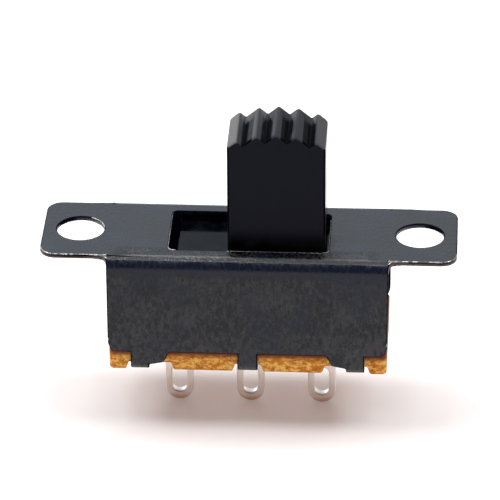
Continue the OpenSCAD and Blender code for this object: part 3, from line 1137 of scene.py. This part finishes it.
    def burr(
        self,
        name: str,
        mesh: bpy.types.Mesh,
        cut: set[int],
        stretches: tuple[Stretch, ...],
        steel: bpy.types.Material,
    ) -> bpy.types.Object:
        """Lays ragged burrs along stretches of sheared rim.

        Args:
            name: The piece's name.
            mesh: The frame's merged mesh, with sharp edges.
            cut: The sheared faces' indices.
            stretches: Where the burrs lie.
            steel: Their material.

        Returns:
            The burrs as one plain mesh.
        """
        work = bmesh.new()
        work.from_mesh(mesh)
        points, edges, sizes = [], [], []
        for edge in work.edges:
            if len({face.index in cut for face in edge.link_faces}) != 2:
                continue
            inward = -sum((face.normal for face in edge.link_faces), Vector()) * self.burr_sink
            for stretch in stretches:
                ends = stretch.clip(*(vert.co for vert in edge.verts))
                if ends:
                    edges.append((len(points), len(points) + 1))
                    points += [end + inward for end in ends]
                    sizes += [stretch.radius * MM] * 2
        work.free()
        paths = bpy.data.meshes.new(name)
        paths.from_pydata(points, edges, [])
        paths.attributes.new("size", "FLOAT", "POINT").data.foreach_set("value", sizes)
        piece = self.burring.grow(name, paths, steel)
        fit(piece, Body.CASE, Slot.STEEL)
        return piece


@dataclass
class Slider:
    """The black moulding: ridged knob, flange, runners and contact housing.

    The knob is what lies above its foot, apart from faces that look right.
    """

    node: str = "slider"
    edge_round: float = 0.05 * MM
    sharp_deg: float = 28.0
    end_round: float = 0.16 * MM
    end_steps: int = 6
    ridge_z: float = 4.7 * MM
    knob_front: float = -1.375 * MM
    knob_specular: float = 0.012
    foot_z: float = 0.05 * MM
    side_normal: float = 0.9

    def round_ends(self, mesh: bpy.types.Mesh) -> None:
        """Rolls the front ends of the knob's ridges down towards its front face.

        Args:
            mesh: The slider's merged mesh.
        """
        with edited(mesh) as work:
            for step in range(1, self.end_steps + 1):
                run = self.end_round * (1 - math.cos(math.pi / 2 * step / self.end_steps))
                high = [f for f in work.faces if max(v.co.z for v in f.verts) > self.ridge_z]
                geom = {*high, *(e for f in high for e in f.edges), *(v for f in high for v in f.verts)}
                cut = (0, self.knob_front + run, 0)
                bmesh.ops.bisect_plane(work, geom=list(geom), plane_co=cut, plane_no=(0, 1, 0))
            for vert in work.verts:
                left = self.knob_front + self.end_round - vert.co.y
                if vert.co.z > self.ridge_z and left > 0:
                    vert.co.z -= self.end_round - math.sqrt(max(self.end_round**2 - left**2, 0.0))

    def build(self) -> bpy.types.Object:
        """Builds the slider, with its edges rounded and dressed.

        Returns:
            The slider.
        """
        rounding = RoundedCopy(width=self.edge_round, sharp_deg=self.sharp_deg)
        mesh = rounding.merged(self.node)
        self.round_ends(mesh)
        piece = rounding.piece("moulded_slider", mesh)
        knob = BlackPlastic("knob_plastic", specular=self.knob_specular)
        dress(piece, BlackPlastic().make(), knob.make())
        for face in piece.data.polygons:
            face.material_index = int(face.center.z > self.foot_z and face.normal.x < self.side_normal)
        fit(piece, Body.CARRIAGE, Slot.PLASTIC, self.node)
        return piece


@dataclass
class Board:
    """The phenolic board that closes the frame."""

    node: str = "base_board"
    edge_round: float = 0.07 * MM

    def build(self) -> bpy.types.Object:
        """Builds the board, with its punched edges rounded and dressed.

        Returns:
            The board.
        """
        rounding = RoundedCopy(width=self.edge_round)
        piece = rounding.piece("phenolic_board", rounding.merged(self.node))
        dress(piece, Phenolic().make())
        fit(piece, Body.CASE, Slot.PHENOLIC, self.node)
        return piece


@dataclass
class Terminals:
    """The three silvered solder lugs with their contact pads."""

    nodes: tuple[str, ...] = ("terminal_left", "terminal_centre", "terminal_right")
    edge_round: float = 0.06 * MM
    edge_steps: int = 3

    def build(self) -> list[bpy.types.Object]:
        """Builds the lugs, with their stamped edges rounded and dressed.

        Returns:
            The lugs from left to right.
        """
        silver = SILVER_PLATE.make()
        rounding = RoundedCopy(width=self.edge_round, segments=self.edge_steps)
        pieces = []
        for node in self.nodes:
            piece = rounding.piece(f"silvered_{node}", rounding.merged(node))
            dress(piece, silver)
            fit(piece, Body.CASE, Slot.SILVER, node)
            pieces.append(piece)
        return pieces


@dataclass
class Contact:
    """The spring bronze strip and the helical spring that presses on it."""

    strip_node: str = "contact_bridge"
    spring_node: str = "contact_spring"
    turns: float = 6.0
    turn_points: int = 32
    wire: float = 0.16 * MM
    wire_sides: int = 12
    edge_round: float = 0.02 * MM

    def build(self) -> list[bpy.types.Object]:
        """Builds the strip and the spring, both dressed.

        Returns:
            The strip and the spring.
        """
        rounding = RoundedCopy(width=self.edge_round)
        strip = rounding.piece("bronze_strip", rounding.merged(self.strip_node))
        dress(strip, SPRING_BRONZE.make())
        fit(strip, Body.CARRIAGE, Slot.BRONZE, self.strip_node)
        spring = self.spring()
        fit(spring, Body.CARRIAGE, Slot.SPRING, self.spring_node)
        return [strip, spring]

    def spring(self) -> bpy.types.Object:
        """Winds the spring inside its CAD box.

        Returns:
            The wound spring as a plain mesh.
        """
        low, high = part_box(self.spring_node)
        name = "wound_spring"
        piece = stand(name, bpy.data.meshes.new(name))
        self.coil(SPRING_WIRE.make()).grow(piece, {
            "Turns": self.turns,
            "Radius": (high.x - low.x - self.wire) / 2,
            "Height": high.z - low.z - self.wire,
            "Wire Radius": self.wire / 2,
            "Foot": ((low.x + high.x) / 2, (low.y + high.y) / 2, low.z + self.wire / 2),
        })
        return piece

    def coil(self, steel: bpy.types.Material) -> ShapeTree:
        """Builds the tree that winds a wire into a helix.

        Args:
            steel: The wire's material.

        Returns:
            The tree.
        """
        sizes = dict.fromkeys(("Turns", "Radius", "Height", "Wire Radius"), "Float")
        tree = ShapeTree("coil", {**sizes, "Foot": "Vector"})
        turns, radius, height, wire_radius, foot = tree.given
        helix = tree.add("GeometryNodeCurveSpiral", {
            "Resolution": self.turn_points,
            "Rotations": turns,
            "Start Radius": radius,
            "End Radius": radius,
            "Height": height,
        }).outputs[0]
        wire = tree.sweep(helix, {"Resolution": self.wire_sides, "Radius": wire_radius})
        moved = tree.add("GeometryNodeTransform", {"Geometry": wire, "Translation": foot}).outputs[0]
        tree.finish(moved, steel)
        return tree


@dataclass(frozen=True)
class Camera:
    """The photograph's view, as fitted to the switch's own corners and holes.

    Angles are in degrees, lens and sensor in millimetres, and clip in distances.
    """

    azimuth: float = 3.268
    elevation: float = 29.671
    roll: float = 0.324
    distance: float = 187.94 * MM
    lens: float = 306.62
    sensor: float = 36.0
    aim_right: float = -0.0076 * MM
    aim_up: float = -0.8052 * MM
    clip: Range = (0.1, 20.0)

    def build(self) -> None:
        """Makes the camera and sets it as the scene's."""
        turn = Matrix.Rotation(math.radians(self.azimuth), 3, "Z")
        turn = turn @ Matrix.Rotation(math.radians(90.0 - self.elevation), 3, "X")
        turn = turn @ Matrix.Rotation(math.radians(-self.roll), 3, "Z")
        right, up, back = turn.col
        data = bpy.data.cameras.new("camera")
        data.lens = self.lens
        data.sensor_width = self.sensor
        data.clip_start, data.clip_end = (share * self.distance for share in self.clip)
        camera = stand("camera", data)
        aim = right * self.aim_right + up * self.aim_up
        camera.matrix_world = Matrix.Translation(aim + back * self.distance) @ turn.to_4x4()
        bpy.context.scene.camera = camera


@dataclass(frozen=True)
class Lamp:
    """A square soft light that faces the switch."""

    name: str
    place: Triple
    side: float
    radiance: float

    def build(self) -> None:
        """Hangs the lamp, with its power worked out from its radiance."""
        data = bpy.data.lights.new(self.name, "AREA")
        data.shape = "SQUARE"
        data.size = self.side
        data.energy = self.radiance * math.pi * self.side**2
        lamp = stand(self.name, data)
        lamp.location = self.place
        lamp.rotation_mode = "QUATERNION"
        lamp.rotation_quaternion = Vector(self.place).to_track_quat("Z", "Y")


@dataclass(frozen=True)
class Studio:
    """A pale floor under the lugs, soft lamps and a white surround.

    Seen in reflections, the floor fades to a dimmer front between near_y and front_y,
    and the surround is darker behind the camera. The ranges mirrored_x and mirrored_y
    are coordinates of a reflection's direction.
    """

    floor_side: float = 2.0
    floor_gap: float = 0.03 * MM
    floor_colour: Colour = (0.96, 0.93, 0.925)
    floor_roughness: float = 0.4
    floor_specular: float = 0.25
    front_colour: Colour = (0.36, 0.37, 0.41)
    near_y: float = -4.0 * MM
    front_y: float = -9.0 * MM
    lift: float = 0.13
    zenith: Colour = (0.28, 0.28, 0.29)
    horizon: Colour = (0.74, 0.42, 0.30)
    horizon_top: float = 0.5
    mirrored_left: Colour = (0.80, 0.92, 1.06)
    mirrored_right: Colour = (0.71, 0.69, 0.72)
    mirrored_front: Colour = (0.04, 0.05, 0.10)
    mirrored_x: Range = (-0.15, 0.15)
    mirrored_y: Range = (-0.35, 0.95)
    lamps: tuple[Lamp, ...] = (
        Lamp("left_light", place=(-0.120, 0.005, 0.225), side=0.14, radiance=5.5),
        Lamp("right_light", place=(0.118, 0.005, 0.225), side=0.14, radiance=5.6),
        Lamp("top_light", place=(-0.03, 0.055, 0.242), side=0.14, radiance=3.1),
        Lamp("back_light", place=(-0.15, 0.26, 0.045), side=0.08, radiance=1.5),
    )

    def build(self) -> None:
        """Sets up the view transform, the floor, the surround and the lamps."""
        bpy.context.scene.view_settings.view_transform = "Standard"
        self.floor()
        self.surround()
        for lamp in self.lamps:
            lamp.build()

    def floor(self) -> None:
        """Lays the floor, with a white base that keeps the switch's shadow."""
        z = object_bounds()[0].z - self.floor_gap
        half = self.floor_side / 2
        corners = [(-half, -half, z), (half, -half, z), (half, half, z), (-half, half, z)]
        mesh = bpy.data.meshes.new("floor")
        mesh.from_pydata(corners, [], [(0, 1, 2, 3)])
        mesh.materials.append(self.floor_material())
        stand("floor", mesh)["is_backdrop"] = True

    def floor_material(self) -> bpy.types.Material:
        """Builds the floor's finish, lifted to white where it is seen.

        Returns:
            The finished material.
        """
        shader = Shader("floor")
        path = shader.add("ShaderNodeLightPath").outputs
        depth = shader.axis(shader.place(), "Y")
        front = shader.fall(depth, (self.front_y / MM, self.near_y / MM))
        behind = shader.spread(depth, (self.near_y / MM, 0.0))
        dimmed = shader.times(path["Is Glossy Ray"], front)
        mirrored = shader.most(path["Is Glossy Ray"], path["Is Transmission Ray"])
        seen = shader.most(path["Is Camera Ray"], shader.times(mirrored, behind))
        return shader.finished({
            "Base Color": shader.blend(dimmed, self.floor_colour, self.front_colour),
            "Roughness": self.floor_roughness,
            "Specular IOR Level": self.floor_specular,
            "Emission Color": WHITE,
            "Emission Strength": shader.times(seen, self.lift),
        })

    def surround(self) -> None:
        """Sets the world: white where it is seen, and softly lit elsewhere."""
        world = bpy.data.worlds.new("surround")
        bpy.context.scene.world = world
        world.use_nodes = True
        shader = Nodes(world.node_tree)
        path = shader.add("ShaderNodeLightPath").outputs
        place = shader.add("ShaderNodeTexCoord").outputs["Generated"]
        rise = shader.spread(shader.axis(place, "Z"), (0.0, self.horizon_top))
        soft = shader.blend(rise, self.horizon, self.zenith)
        side = shader.spread(shader.axis(place, "X"), self.mirrored_x)
        back = shader.spread(shader.axis(place, "Y"), self.mirrored_y)
        mirrored = shader.blend(side, self.mirrored_left, self.mirrored_right)
        mirrored = shader.blend(back, self.mirrored_front, mirrored)
        colour = shader.blend(path["Is Glossy Ray"], soft, mirrored)
        colour = shader.blend(path["Is Camera Ray"], colour, WHITE)
        light = shader.add("ShaderNodeBackground", {"Color": colour})
        shader.add("ShaderNodeOutputWorld", {"Surface": light.outputs[0]})


def main() -> None:
    """Dresses the switch piece by piece, and sets the studio around it."""
    logging.basicConfig(level=logging.INFO, format="%(name)s: %(message)s")
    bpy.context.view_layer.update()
    Camera().build()
    Studio().build()
    for assembly in (SteelFrame(), Slider(), Board(), Terminals(), Contact()):
        built = assembly.build()
        for piece in built if isinstance(built, list) else [built]:
            LOG.info("%s has %d faces", piece.name, len(piece.data.polygons))


if __name__ == "__main__":
    main()
